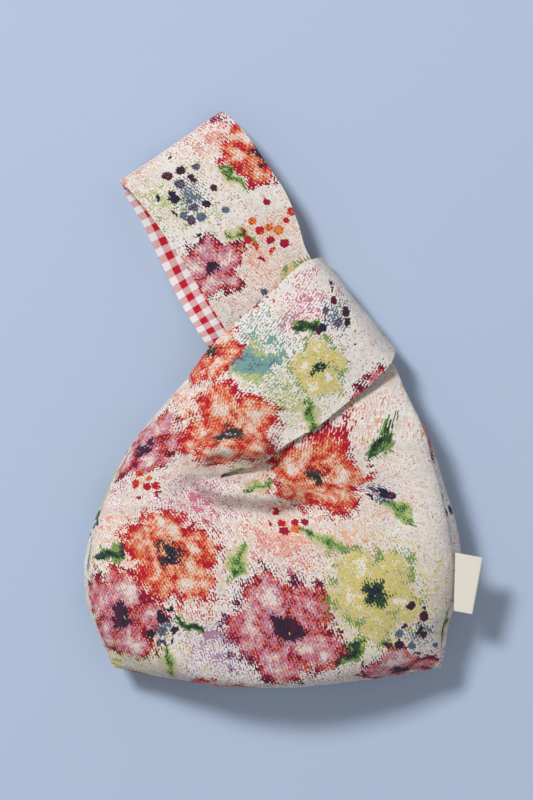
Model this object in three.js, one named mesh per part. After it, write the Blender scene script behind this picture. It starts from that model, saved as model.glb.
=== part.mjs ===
// A knot bag, closed and lying on its back: a lined cloth bag with one short and one long handle.
// The long handle is drawn through the loop of the short one, which pulls the mouth shut.
// Millimetres. X runs to the right, Y from the base of the bag to the long handle, Z up from
// the surface the bag lies on. The origin is under the middle of the bag.
//
// Each outer panel is one sheet with a body and half of both handles. It is worked out from
// cross sections: a row gives the sheet's outer edge, which is a side seam or an armhole,
// its inner edge, which is the middle line or the neckline, and the heights between them.
import * as THREE from "three";

// Thickness of the plies, and the gap that parts a ply from its neighbour or from a seam.
const OUTER_CLOTH = 1.6;
const LINING_CLOTH = 1.0;
const APART = 0.35;

// How far the back settles onto the surface, so that it lies flat, and the height of its seams.
const SETTLE = 1.0;
const SEAM_HEIGHT = 27;

// Columns of cloth between an outer and an inner edge, and how they crowd towards the inner one.
const FRONT_COLUMNS = 15;
const BACK_COLUMNS = 8;
const CROWDING = 1.8;

// How square the cross section of the body is: 2 is an ellipse, more is squarer.
const FRONT_SQUARE = 2.3;
const BACK_SQUARE = 3.2;

// How soon the folds set in from the edges towards the middle.
const FOLD_ONSET = 1.5;

// Added to the way between rows that curves are led through, as some rows start at one point.
const LEAST_SPAN = 0.5;

// At the foot of the neckline the cloth of the short handle lifts and that of the long one dips.
const PARTING = { lift: 3, reach: 14, rows: 2 };

// The folded side tag: where it leaves the right side seam, and its ribbon: its size, how much
// more of its lower end the seam swallows, its thickness, and the gap between its two layers.
const TAG = { x: 109.6, y: -121, z: 37.4, tilt: 0.1, lean: 0.04, turn: -0.175 };
const RIBBON = { length: 38, reach: 18.5, cut: 6, thick: 0.8, inside: 0.5 };

const COLORS = { jacquard: 0xe9ded2, gingham: 0xc0303f, tag: 0xece4d3 };

const table = (columns, rows) => {
  const names = columns.split(" ");
  return rows.map((row) => Object.fromEntries(names.map((name, k) => [name, row[k]])));
};

// The body, from the bottom seam up to the foot of the neckline. Each row runs from the left
// side seam over the middle line to the right side seam. round is how fully the cross section
// curves, bow how far the row bends to the base, and the bulges are how far the back swells out
// past the seams. steps divides the way to the next row.
const BODY_COLUMNS =
  "leftX leftY midX midY rightX rightY leftSeam rightSeam top under round bow leftBulge rightBulge steps";
const BODY = table(BODY_COLUMNS, [
  [-113, -178, -14, -191, 104, -178.5, 27, 27, 27, 27, 1, 1, 0, 0, 1],
  [-115.5, -169, -14, -191, 104.5, -170, 27, 28, 44, 9, 1, 1, 2, 4, 2],
  [-122, -155, -15, -187, 105, -154, 27, 31, 55, 1, 1, 0.8, 4, 6, 2],
  [-128, -137, -16, -170, 109.5, -134, 27, 34, 60, 0, 1, 0.6, 4, 8, 2],
  [-130, -117, -19, -140, 111.5, -111, 26, 37, 63, 0, 1, 0.3, 4, 9, 3],
  [-128, -100, -24, -108, 108.5, -84, 25, 38, 60, 0, 1, 0, 4, 8, 4],
  [-123.5, -82, -31, -80, 102.5, -59, 25, 38, 53.5, 0, 1, 0, 3, 6, 4],
  [-116, -65, -40.5, -54, 95.5, -32, 25, 36, 49, 0, 1, 0, 3, 5, 1],
]);

// A handle half, from the neckline to the seam at its top. out is the armhole side, in is the
// neckline side; Top heights are the front half's, Under heights the back half's, slip is how
// far the back half lies aside of the front one, and round is how much the edge rolls down.
const HANDLE_COLUMNS =
  "outX outY inX inY round outTop inTop crown outUnder inUnder slipX slipY bulge steps";
const SHORT_HANDLE = table(HANDLE_COLUMNS, [
  [-113, -58, -39.8, -50.9, 1, 25, 49.5, 0, 25, 0, 0, 0, 3, 2],
  [-106, -43.5, -33.5, -48.6, 1, 25, 50.5, 0, 25, 0, 0, 0, 3, 3],
  [-93.5, -24.5, -22.5, -46.5, 0.95, 25, 53, 1, 25, 0, 0, 0, 3, 3],
  [-78, -4, -12.2, -40.6, 0.85, 25, 55, 3, 25, 0, 0, 0, 1, 2],
  [-63, 13, -4.3, -35.4, 0.7, 24, 54, 5, 24, 0, 0, 0, 0, 2],
  [-52.5, 29, 4, -29.5, 0.5, 29.5, 52, 6.5, 13.5, 0, 1, -1, 0, 1],
  [-43.5, 38, 12.2, -25, 0.4, 33, 50.5, 6.5, 5.5, 0, 3, -3, 0, 1],
  [-34, 47, 22, -19.6, 0.3, 34.5, 49.5, 6, 1, 0, 3, -3, 0, 2],
  [-10, 67.5, 40.6, -4.6, 0.2, 35, 45.5, 6, 0, 0, 1, -1, 0, 2],
  [12, 88, 60, 10.5, 0.1, 34, 40.5, 5, 0, 0, 0, 0, 0, 2],
  [21, 91.5, 71, 22.5, 0, 31, 35, 2.5, 3, 3, 0, 0, 0, 2],
  [25.5, 92.5, 74.5, 31, 0, 17, 18, 0, 17, 18, 0, 0, 0, 0],
]);
const LONG_HANDLE = table(HANDLE_COLUMNS, [
  [94, -26, -39, -51, 1, 35.5, 48.5, 0, 35.5, 2.6, 0, 0, 4, 1],
  [90.5, -17, -36.2, -45.6, 1, 34, 48, 0, 34, 3.8, 0, 0, 3, 2],
  [85.5, -7, -32, -36, 1, 32, 46.5, 0, 32, 5.2, 0, 0, 1, 2],
  [80, 6, -31, -18.5, 0.9, 28, 41.5, 1, 24, 5.8, -1, 0, 0, 2],
  [73, 21, -33, 4.5, 0.6, 24, 35, 3, 15, 8.5, -3, -2, 0, 2],
  [54.5, 45.5, -32.5, 25, 0.3, 22.5, 27, 5, 7, 14.5, -10, -5.5, 0, 2],
  [34, 69.5, -36.6, 41, 0.1, 23.5, 24, 4, 6, 16, -13.9, -8, 0, 2],
  [16, 95.5, -46.2, 57.5, 0, 25, 25, 3, 5, 12, -14.8, -8, 0, 2],
  [9.5, 115.5, -56.4, 74, 0, 26, 25.5, 2.5, 1.5, 6, -15.1, -5.5, 0, 2],
  [1, 136, -72, 97.5, 0, 26, 26, 2.5, 0, 1.5, -11.3, -4.5, 0, 2],
  [-11.5, 155, -87.5, 119.5, 0, 24.5, 25, 2, 0, 0, -6.1, -4.5, 0, 2],
  [-25, 174.5, -101.5, 136.5, 0, 21.5, 22, 1, 0, 0, -3, -3, 0, 2],
  [-36.5, 186.5, -106.5, 141, 0, 18, 18, 0.5, 3, 3, -0.5, -0.5, 0, 2],
  [-41, 190, -109, 143.5, 0, 11, 11, 0, 11, 11, 0, 0, 0, 0],
]);
// The last handle rows sewn up at the side, below the armholes, and the first where the lining shows.
const LAST_SEWN_LEFT = 4;
const LAST_SEWN_RIGHT = 2;
const FIRST_LINED_ROW = 6;

// Folds of the front: a ridge, or with a negative height a trough, along a line of points.
// It falls away over left and right of the line as seen along it, the more squarely the higher
// its firmness, and dies out over fade at the line's start and end.
const FOLDS = table("height left right firmness startFade endFade line", [
  // The cloth that wells up round the foot of the neckline.
  [11.5, 8.5, 8, 2.8, 14, 26, [
    [-2, -33], [-22, -33], [-38, -31], [-50, -33], [-56.5, -40], [-56, -48],
    [-49, -56], [-38, -61.5], [-18, -64], [4, -63.5], [20, -61],
  ]],
  // The crease in its middle, which goes on from the slit.
  [-1.5, 5, 5, 2, 8, 14, [[-58, -45], [-50, -51], [-40.5, -54], [-30, -52], [-16, -47], [0, -42]]],
  // Hollows about it, above and below, and towards the left side.
  [-3, 9, 9, 2, 10, 12, [[-66, -36], [-52, -18], [-30, -17], [-8, -24]]],
  [-5.5, 9, 12, 2, 14, 26, [[-70, -52], [-60, -66], [-40, -76.5], [-14, -79], [14, -77], [34, -71]]],
  [-4, 9, 14, 2, 14, 26, [[-108, -52], [-106, -78], [-96, -102], [-84, -124]]],
  // Soft waves of the belly.
  [2.5, 14, 12, 2, 24, 24, [[-68, -62], [-82, -84], [-80, -120]]],
  [-2, 16, 16, 2, 26, 26, [[52, -30], [70, -66], [78, -104]]],
]);

const mix = (a, b, t) => a + (b - a) * t;
const smooth = (t) => {
  const s = Math.min(1, Math.max(0, t));
  return s * s * (3 - 2 * s);
};

// A value between two rows, on a smooth curve through the rows before and after them as well.
// spans are the distances before, between and after the two rows.
function throughRows([before, start, end, after], [spanBefore, span, spanAfter], t) {
  const startSlope = ((end - before) / (spanBefore + span)) * span;
  const endSlope = ((after - start) / (span + spanAfter)) * span;
  const t2 = t * t;
  const t3 = t2 * t;
  const fromStart = (2 * t3 - 3 * t2 + 1) * start + (t3 - 2 * t2 + t) * startSlope;
  const fromEnd = (3 * t2 - 2 * t3) * end + (t3 - t2) * endSlope;
  return fromStart + fromEnd;
}

function rowSpan(a, b) {
  const acrossX = a.outX + a.inX - b.outX - b.inX;
  const acrossY = a.outY + a.inY - b.outY - b.inY;
  return Math.hypot(acrossX, acrossY, a.inZ - b.inZ) / 2;
}

// All rows of one half of a panel, refined by their steps. first and last stand beyond its ends.
function refine(rows, first, last) {
  const padded = [first, ...rows, last];
  const fine = [];
  for (let i = 1; i < padded.length - 2; i++) {
    const four = padded.slice(i - 1, i + 3);
    const spans = [0, 1, 2].map((k) => rowSpan(four[k], four[k + 1]) + LEAST_SPAN);
    const count = four[1].steps;
    for (let step = 0; step < count; step++) {
      const made = { place: i - 1 + step / count };
      for (const name of Object.keys(four[1]))
        made[name] = throughRows(four.map((row) => row[name]), spans, step / count);
      fine.push(made);
    }
  }
  fine.push({ ...rows.at(-1), place: rows.length - 1 });
  return fine;
}

// The rows of one half of a panel as the sheet's own columns.
const bodyHalf = (row, side, front) => ({
  outX: row[side + "X"],
  outY: row[side + "Y"],
  outZ: row[side + "Seam"],
  inX: row.midX,
  inY: row.midY,
  inZ: front ? row.top : row.under,
  round: row.round,
  crown: 0,
  bow: row.bow,
  bulge: front ? 0 : row[side + "Bulge"],
  steps: row.steps,
});
const handleHalf = (row, front) => ({
  outX: row.outX + (front ? 0 : row.slipX),
  outY: row.outY + (front ? 0 : row.slipY),
  outZ: front ? row.outTop : row.outUnder,
  inX: row.inX + (front ? 0 : row.slipX),
  inY: row.inY + (front ? 0 : row.slipY),
  inZ: front ? row.inTop : row.inUnder,
  round: row.round,
  crown: front ? row.crown : 0,
  bow: 0,
  bulge: front ? 0 : row.bulge,
  steps: row.steps,
});

function halfRows(side, front) {
  const handle = side === "left" ? SHORT_HANDLE : LONG_HANDLE;
  const body = BODY.map((row) => bodyHalf(row, side, front));
  const rows = [...body, ...handle.map((row) => handleHalf(row, front))];
  // Beyond the bottom seam and the handle's top seam the other panel goes on.
  const before = bodyHalf(BODY[1], side, !front);
  const after = handleHalf(handle.at(-2), !front);
  return refine(rows, before, after);
}

// The same, with the outer edge held to the other panel's as far up as the side is sewn.
function sewnRows(side, front) {
  const lastSewn = BODY.length + (side === "left" ? LAST_SEWN_LEFT : LAST_SEWN_RIGHT);
  const other = halfRows(side, !front);
  return halfRows(side, front).map((row, j) => {
    if (row.place > lastSewn) return { ...row, sewn: false };
    const held = ["outX", "outY", "outZ"].map((name) => [name, (row[name] + other[j][name]) / 2]);
    return { ...row, ...Object.fromEntries(held), sewn: true };
  });
}

// How high the folds lift the front at a place.
function foldHeight(x, y) {
  let sum = 0;
  for (const { height, left, right, firmness, startFade, endFade, line } of FOLDS) {
    let best = { distance: Infinity };
    let total = 0;
    line.slice(1).forEach(([bx, by], k) => {
      const [ax, ay] = line[k];
      const length = Math.hypot(bx - ax, by - ay);
      const dx = (bx - ax) / length;
      const dy = (by - ay) / length;
      const held = Math.min(length, Math.max(0, (x - ax) * dx + (y - ay) * dy));
      const distance = Math.hypot(x - ax - held * dx, y - ay - held * dy);
      const isLeft = dx * (y - ay) - dy * (x - ax) > 0;
      if (distance < best.distance) best = { distance, isLeft, at: total + held };
      total += length;
    });
    const ends = smooth(best.at / startFade) * smooth((total - best.at) / endFade);
    sum += height * ends * Math.exp(-((best.distance / (best.isLeft ? left : right)) ** firmness));
  }
  return sum;
}

// How far the two sides part in height near the foot of the neckline.
function parting({ past, rising }, x, y) {
  const { midX, midY } = BODY.at(-1);
  const near = Math.exp(-((Math.hypot(x - midX, y - midY) / PARTING.reach) ** 2));
  return rising * PARTING.lift * smooth(past / PARTING.rows) * near;
}

// The point at a share u of the way from a row's outer to its inner edge.
function pointAcross(row, u, front) {
  const angle = (Math.PI / 2) * (1 - (1 - u) ** CROWDING);
  const power = 2 / (front ? FRONT_SQUARE : BACK_SQUARE);
  const curved = 1 - Math.cos(angle) ** power;
  const share = mix(u, u === 1 ? 1 : curved, row.round);
  const rise = mix(u, Math.sin(angle) ** power, row.round);
  const bowed = mix(share, 1 - (1 - share) ** 2, row.bow);
  const across = new THREE.Vector2(row.inX - row.outX, row.inY - row.outY);
  const swell = (row.bulge * Math.sin(Math.PI * rise)) / across.length();
  const x = row.outX + across.x * (share - swell);
  const y = row.outY + across.y * (bowed - swell);
  let z = mix(row.outZ, row.inZ, rise) + row.crown * Math.sin(Math.PI * u) ** 2;
  if (front) {
    z += foldHeight(x, y) * smooth(rise * FOLD_ONSET) * (1 - row.dive * u);
    z += parting(row, x, y) + APART;
  } else {
    z = Math.max(0, z - SETTLE * Math.max(0, 1 - z / SEAM_HEIGHT));
  }
  return new THREE.Vector3(x, y, z);
}

// One outer panel as a sheet: its points, their normals, and its faces as fours of points.
function makePanel(front) {
  const columns = front ? FRONT_COLUMNS : BACK_COLUMNS;
  const points = [];
  const seam = new Set();
  const quads = [];
  let leftGrid = null;
  for (const side of ["left", "right"]) {
    const rows = sewnRows(side, front);
    const neck = rows.findIndex(({ place }) => place === BODY.length - 1);
    const grid = rows.map((row, j) => {
      row.past = j - neck;
      row.rising = side === "left" ? 1 : -1;
      // The long handle dives under the short one, so the folds about the neckline leave it out.
      row.dive = side === "left" ? 0 : smooth(row.past / PARTING.rows);
      return Array.from({ length: columns + 1 }, (_, k) => {
        if (leftGrid && k === columns && j <= neck) return leftGrid[j][k];
        points.push(pointAcross(row, k / columns, front));
        const onSeam = j === 0 || j === rows.length - 1 || (k === 0 && row.sewn);
        if (onSeam) seam.add(points.length - 1);
        return points.length - 1;
      });
    });
    leftGrid ??= grid;
    for (let j = 0; j + 1 < rows.length; j++)
      for (let k = 0; k < columns; k++) {
        const [a, b, c, d] = [grid[j][k], grid[j][k + 1], grid[j + 1][k + 1], grid[j + 1][k]];
        const handleRow = rows[j].place - BODY.length;
        quads.push({ corners: (side === "left") === front ? [a, b, c, d] : [a, d, c, b], side, handleRow });
      }
  }
  return { points, quads, normals: normalsOf(points, quads, seam) };
}

// A normal for each point. On a seam the cloth stands upright, so the two panels meet squarely.
function normalsOf(points, quads, seam) {
  const normals = points.map(() => new THREE.Vector3());
  for (const { corners } of quads) {
    const [a, b, c, d] = corners.map((index) => points[index]);
    const normal = new THREE.Vector3().subVectors(c, a).cross(new THREE.Vector3().subVectors(d, b));
    for (const index of corners) normals[index].add(normal);
  }
  normals.forEach((normal, index) => {
    if (seam.has(index)) normal.z = 0;
    normal.normalize();
  });
  return normals;
}

// A closed solid of cloth: the faces of a panel, moved in by depth and given a thickness.
function ply(panel, quads, depth, thickness) {
  const used = [...new Set(quads.flatMap(({ corners }) => corners))];
  const slot = new Map(used.map((index, k) => [index, k]));
  const positions = [];
  for (const inset of [depth, depth + thickness])
    for (const index of used)
      positions.push(...panel.points[index].clone().addScaledVector(panel.normals[index], -inset).toArray());
  const triangles = [];
  const edges = new Map();
  const inner = used.length;
  for (const { corners } of quads) {
    const [a, b, c, d] = corners.map((index) => slot.get(index));
    triangles.push(a, b, c, a, c, d, inner + c, inner + b, inner + a, inner + d, inner + c, inner + a);
    [[a, b], [b, c], [c, d], [d, a]].forEach(([from, to]) => {
      if (!edges.delete(to + "," + from)) edges.set(from + "," + to, [from, to]);
    });
  }
  for (const [from, to] of edges.values())
    triangles.push(from, inner + from, to, to, inner + from, inner + to);
  const geometry = new THREE.BufferGeometry();
  geometry.setAttribute("position", new THREE.Float32BufferAttribute(positions, 3));
  geometry.setIndex(triangles);
  geometry.computeVertexNormals();
  return geometry;
}

// The folded side tag: a ribbon turned back on itself, its two ends at the seam.
function tagGeometry() {
  const { length, reach, cut, thick, inside } = RIBBON;
  const outer = thick + inside / 2;
  const section = new THREE.Shape();
  section.moveTo(0, outer);
  section.lineTo(reach - outer, outer);
  section.absarc(reach - outer, 0, outer, Math.PI / 2, -Math.PI / 2, true);
  section.lineTo(0, -outer);
  section.lineTo(0, -inside / 2);
  section.lineTo(reach - outer, -inside / 2);
  section.absarc(reach - outer, 0, inside / 2, -Math.PI / 2, Math.PI / 2, false);
  section.lineTo(0, inside / 2);
  section.closePath();
  const strip = { depth: length, bevelEnabled: false, curveSegments: 6 };
  const geometry = new THREE.ExtrudeGeometry(section, strip);
  // The ribbon stands at a slant in the seam, which swallows more of its lower end.
  const corners = geometry.attributes.position;
  for (let i = 0; i < corners.count; i++)
    if (corners.getX(i) < inside) corners.setX(i, (cut * corners.getZ(i)) / length);
  geometry.translate(0, 0, -length / 2);
  geometry.rotateX(Math.PI / 2);
  return geometry;
}

const cloth = (color) => new THREE.MeshStandardMaterial({ color, roughness: 0.9, metalness: 0 });
const jacquard = cloth(COLORS.jacquard);
const gingham = cloth(COLORS.gingham);
const tagRibbon = cloth(COLORS.tag);

const bag = new THREE.Group();
const add = (name, geometry, material) => {
  const mesh = new THREE.Mesh(geometry, material);
  mesh.name = name;
  bag.add(mesh);
  return mesh;
};

for (const front of [true, false]) {
  const face = front ? "front" : "back";
  const panel = makePanel(front);
  add(face + "_panel", ply(panel, panel.quads, 0, OUTER_CLOTH), jacquard);
  const lined = panel.quads.filter(({ side, handleRow }) => side === "right" && handleRow >= FIRST_LINED_ROW);
  add("long_handle_lining_" + face, ply(panel, lined, OUTER_CLOTH + APART, LINING_CLOTH), gingham);
}

const tag = add("side_tag", tagGeometry(), tagRibbon);
tag.position.set(TAG.x, TAG.y, TAG.z);
tag.rotation.set(TAG.tilt, -TAG.lean, TAG.turn);

export default bag;
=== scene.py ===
"""Looks for a knot bag lying on its back: a lined cloth bag with one short and one long handle.

The long handle is drawn through the loop of the short one, which pulls the mouth shut.
X runs to the right, Y from the base of the bag to the long handle, Z up from the surface.
"""

import math
from functools import partial

import bpy
import numpy as np
from mathutils import Matrix, Vector


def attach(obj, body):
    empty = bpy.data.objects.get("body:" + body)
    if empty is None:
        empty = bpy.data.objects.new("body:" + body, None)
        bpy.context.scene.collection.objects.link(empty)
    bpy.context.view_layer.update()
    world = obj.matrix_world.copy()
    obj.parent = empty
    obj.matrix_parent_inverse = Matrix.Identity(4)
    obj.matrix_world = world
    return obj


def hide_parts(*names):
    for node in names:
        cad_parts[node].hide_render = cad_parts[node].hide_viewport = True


bl_info = {
    "name": "Knot bag looks",
    "version": (1, 0, 0),
    "blender": (4, 5, 0),
    "location": "3D view > Sidebar > Knot bag",
    "description": "Cloth, lining and tag of a knot bag around its packed frame",
    "category": "Object",
}

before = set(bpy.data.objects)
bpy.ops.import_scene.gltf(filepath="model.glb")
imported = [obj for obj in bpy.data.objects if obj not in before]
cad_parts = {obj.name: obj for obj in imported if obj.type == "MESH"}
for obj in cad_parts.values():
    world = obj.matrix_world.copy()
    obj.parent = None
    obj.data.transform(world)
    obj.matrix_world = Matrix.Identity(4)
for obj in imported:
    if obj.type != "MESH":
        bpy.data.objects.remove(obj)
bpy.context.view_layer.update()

MM = 0.001
BODY = "root"

# The cut and the lie of the bag, in millimetres, as in the part's source

# Thickness of the plies, and the gap that parts a ply from its neighbour or from a seam.
OUTER_CLOTH = 1.6
LINING_CLOTH = 1.0
APART = 0.35
# How far the back settles onto the surface, so that it lies flat, and the height of its seams.
SETTLE = 1.0
SEAM_HEIGHT = 27
# How the cloth crowds towards its inner edge.
CROWDING = 1.8
# How square the cross section of the body is: 2 is an ellipse, more is squarer.
FRONT_SQUARE = 2.3
BACK_SQUARE = 3.2
# How soon the folds set in from the edges towards the middle.
FOLD_ONSET = 1.5
# Added to the way between rows that curves are led through, as some rows start at one point.
LEAST_SPAN = 0.5
# At the foot of the neckline the cloth of the short handle lifts and that of the long one dips.
PARTING = {"lift": 3, "reach": 14, "rows": 2}
# The last handle rows sewn up at the side, below the armholes, and the first where the lining shows.
LAST_SEWN = {"left": 4, "right": 2}
FIRST_LINED_ROW = 6


def table(columns, rows):
    """Rows of numbers as dicts that are keyed by the names of the columns."""
    return [dict(zip(columns.split(), row)) for row in rows]


# The body, from the bottom seam up to the foot of the neckline, each row from seam to seam. round is
# how fully the cross section curves, bow how far the row bends to the base, and the bulges are how
# far the back swells out past the seams. steps divides the way to the next row.
BODY_COLUMNS = (
    "leftX leftY midX midY rightX rightY leftSeam rightSeam top under round bow leftBulge rightBulge steps"
)
BODY_ROWS = table(BODY_COLUMNS, [
    [-113, -178, -14, -191, 104, -178.5, 27, 27, 27, 27, 1, 1, 0, 0, 1],
    [-115.5, -169, -14, -191, 104.5, -170, 27, 28, 44, 9, 1, 1, 2, 4, 2],
    [-122, -155, -15, -187, 105, -154, 27, 31, 55, 1, 1, 0.8, 4, 6, 2],
    [-128, -137, -16, -170, 109.5, -134, 27, 34, 60, 0, 1, 0.6, 4, 8, 2],
    [-130, -117, -19, -140, 111.5, -111, 26, 37, 63, 0, 1, 0.3, 4, 9, 3],
    [-128, -100, -24, -108, 108.5, -84, 25, 38, 60, 0, 1, 0, 4, 8, 4],
    [-123.5, -82, -31, -80, 102.5, -59, 25, 38, 53.5, 0, 1, 0, 3, 6, 4],
    [-116, -65, -40.5, -54, 95.5, -32, 25, 36, 49, 0, 1, 0, 3, 5, 1],
])
# A handle half, from the neckline to the seam at its top. out is the armhole side, in the neckline
# side; Top heights are the front half's, Under heights the back half's, slip is how far the back half
# lies aside of the front one, and round is how much the edge rolls down.
HANDLE_COLUMNS = "outX outY inX inY round outTop inTop crown outUnder inUnder slipX slipY bulge steps"
SHORT_HANDLE = table(HANDLE_COLUMNS, [
    [-113, -58, -39.8, -50.9, 1, 25, 49.5, 0, 25, 0, 0, 0, 3, 2],
    [-106, -43.5, -33.5, -48.6, 1, 25, 50.5, 0, 25, 0, 0, 0, 3, 3],
    [-93.5, -24.5, -22.5, -46.5, 0.95, 25, 53, 1, 25, 0, 0, 0, 3, 3],
    [-78, -4, -12.2, -40.6, 0.85, 25, 55, 3, 25, 0, 0, 0, 1, 2],
    [-63, 13, -4.3, -35.4, 0.7, 24, 54, 5, 24, 0, 0, 0, 0, 2],
    [-52.5, 29, 4, -29.5, 0.5, 29.5, 52, 6.5, 13.5, 0, 1, -1, 0, 1],
    [-43.5, 38, 12.2, -25, 0.4, 33, 50.5, 6.5, 5.5, 0, 3, -3, 0, 1],
    [-34, 47, 22, -19.6, 0.3, 34.5, 49.5, 6, 1, 0, 3, -3, 0, 2],
    [-10, 67.5, 40.6, -4.6, 0.2, 35, 45.5, 6, 0, 0, 1, -1, 0, 2],
    [12, 88, 60, 10.5, 0.1, 34, 40.5, 5, 0, 0, 0, 0, 0, 2],
    [21, 91.5, 71, 22.5, 0, 31, 35, 2.5, 3, 3, 0, 0, 0, 2],
    [25.5, 92.5, 74.5, 31, 0, 17, 18, 0, 17, 18, 0, 0, 0, 0],
])
LONG_HANDLE = table(HANDLE_COLUMNS, [
    [94, -26, -39, -51, 1, 35.5, 48.5, 0, 35.5, 2.6, 0, 0, 4, 1],
    [90.5, -17, -36.2, -45.6, 1, 34, 48, 0, 34, 3.8, 0, 0, 3, 2],
    [85.5, -7, -32, -36, 1, 32, 46.5, 0, 32, 5.2, 0, 0, 1, 2],
    [80, 6, -31, -18.5, 0.9, 28, 41.5, 1, 24, 5.8, -1, 0, 0, 2],
    [73, 21, -33, 4.5, 0.6, 24, 35, 3, 15, 8.5, -3, -2, 0, 2],
    [54.5, 45.5, -32.5, 25, 0.3, 22.5, 27, 5, 7, 14.5, -10, -5.5, 0, 2],
    [34, 69.5, -36.6, 41, 0.1, 23.5, 24, 4, 6, 16, -13.9, -8, 0, 2],
    [16, 95.5, -46.2, 57.5, 0, 25, 25, 3, 5, 12, -14.8, -8, 0, 2],
    [9.5, 115.5, -56.4, 74, 0, 26, 25.5, 2.5, 1.5, 6, -15.1, -5.5, 0, 2],
    [1, 136, -72, 97.5, 0, 26, 26, 2.5, 0, 1.5, -11.3, -4.5, 0, 2],
    [-11.5, 155, -87.5, 119.5, 0, 24.5, 25, 2, 0, 0, -6.1, -4.5, 0, 2],
    [-25, 174.5, -101.5, 136.5, 0, 21.5, 22, 1, 0, 0, -3, -3, 0, 2],
    [-36.5, 186.5, -106.5, 141, 0, 18, 18, 0.5, 3, 3, -0.5, -0.5, 0, 2],
    [-41, 190, -109, 143.5, 0, 11, 11, 0, 11, 11, 0, 0, 0, 0],
])
# Folds of the front: a ridge, or with a negative height a trough, along a line of points. It falls
# away over left and right of the line, the more squarely the higher its firmness, and dies out over
# fade at the line's start and end.
FOLDS = table("height left right firmness startFade endFade line", [
    # The cloth that wells up round the foot of the neckline, and the crease in its middle.
    [
        11.5, 8.5, 8, 2.8, 14, 26,
        [(-2, -33), (-22, -33), (-38, -31), (-50, -33), (-56.5, -40), (-56, -48),
         (-49, -56), (-38, -61.5), (-18, -64), (4, -63.5), (20, -61)],
    ],
    [-1.5, 5, 5, 2, 8, 14, [(-58, -45), (-50, -51), (-40.5, -54), (-30, -52), (-16, -47), (0, -42)]],
    # Hollows about it, above and below, and towards the left side.
    [-3, 9, 9, 2, 10, 12, [(-66, -36), (-52, -18), (-30, -17), (-8, -24)]],
    [-5.5, 9, 12, 2, 14, 26, [(-70, -52), (-60, -66), (-40, -76.5), (-14, -79), (14, -77), (34, -71)]],
    [-4, 9, 14, 2, 14, 26, [(-108, -52), (-106, -78), (-96, -102), (-84, -124)]],
    # Soft waves of the belly.
    [2.5, 14, 12, 2, 24, 24, [(-68, -62), (-82, -84), (-80, -120)]],
    [-2, 16, 16, 2, 26, 26, [(52, -30), (70, -66), (78, -104)]],
])
# The folded side tag: where it leaves the right side seam, and its ribbon: its size, how much more of
# its lower end the seam swallows, its thickness, and the gap between its two layers.
TAG = {"x": 109.6, "y": -121, "z": 37.4, "tilt": 0.1, "lean": 0.04, "turn": -0.175}
RIBBON = {"length": 38, "reach": 18.5, "cut": 6, "thick": 0.8, "inside": 0.5}

# How much finer the visible sheets are than the part's own.
ROWS_FINER = 5
FRONT_COLUMNS = 56
BACK_COLUMNS = 36
# How much closer together the columns lie next to both edges, from 0 to 1.
EDGE_CROWDING = 0.45
# Rows of the handle's table over which the weave turns from level to following them.
TURNING_ROWS = 7
# Where each panel is cut from the printed cloth, across and up.
FRONT_CUT = (0, 0)
BACK_CUT = (145, 130)
# Small uneven waves of the front: how many run over each other, their lengths, and the seed that
# draws their directions.
RIPPLE = {"seed": 7, "waves": 10, "length": 26, "shortest": 0.6, "longest": 1.6}


def mix(a, b, t):
    return a + (b - a) * t


def smooth(t):
    s = np.clip(t, 0, 1)
    return s * s * (3 - 2 * s)


FIELDS = ("outX", "outY", "outZ", "inX", "inY", "inZ", "round", "crown", "bow", "bulge")


def body_half(row, side, front):
    return {
        "outX": row[side + "X"], "outY": row[side + "Y"], "outZ": row[side + "Seam"],
        "inX": row["midX"], "inY": row["midY"], "inZ": row["top" if front else "under"],
        "round": row["round"], "crown": 0, "bow": row["bow"],
        "bulge": 0 if front else row[side + "Bulge"], "steps": row["steps"],
    }


def handle_half(row, front):
    slip_x, slip_y = (0, 0) if front else (row["slipX"], row["slipY"])
    return {
        "outX": row["outX"] + slip_x, "outY": row["outY"] + slip_y,
        "outZ": row["outTop" if front else "outUnder"],
        "inX": row["inX"] + slip_x, "inY": row["inY"] + slip_y,
        "inZ": row["inTop" if front else "inUnder"],
        "round": row["round"], "crown": row["crown"] if front else 0, "bow": 0,
        "bulge": 0 if front else row["bulge"], "steps": row["steps"],
    }


def row_span(a, b):
    """How far the middle of one row lies from that of another."""
    out_x, out_y, _, in_x, in_y, in_z = (a - b)[:6]
    return math.hypot(out_x + in_x, out_y + in_y, in_z) / 2


def refined(rows, first, last):
    """All rows of one half of a panel on smooth curves: their places in the table, and their values."""
    padded = [first, *rows, last]
    values = np.array([[row[name] for name in FIELDS] for row in padded], float)
    places, fine = [], []
    for i in range(1, len(padded) - 2):
        before, start, end, after = values[i - 1 : i + 3]
        span_before, span, span_after = (
            row_span(values[k], values[k + 1]) + LEAST_SPAN for k in range(i - 1, i + 2)
        )
        start_slope = (end - before) / (span_before + span) * span
        end_slope = (after - start) / (span + span_after) * span
        count = padded[i]["steps"] * ROWS_FINER
        for step in range(count):
            t = step / count
            from_start = (2 * t**3 - 3 * t**2 + 1) * start + (t**3 - 2 * t**2 + t) * start_slope
            from_end = (3 * t**2 - 2 * t**3) * end + (t**3 - t**2) * end_slope
            fine.append(from_start + from_end)
            places.append(i - 1 + t)
    return np.array([*places, len(rows) - 1]), np.array([*fine, values[-2]])


def half_rows(side, front):
    handle = SHORT_HANDLE if side == "left" else LONG_HANDLE
    rows = [body_half(row, side, front) for row in BODY_ROWS]
    rows += [handle_half(row, front) for row in handle]
    # Beyond the bottom seam and the handle's top seam the other panel goes on.
    before = body_half(BODY_ROWS[1], side, not front)
    after = handle_half(handle[-2], not front)
    return refined(rows, before, after)


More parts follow.
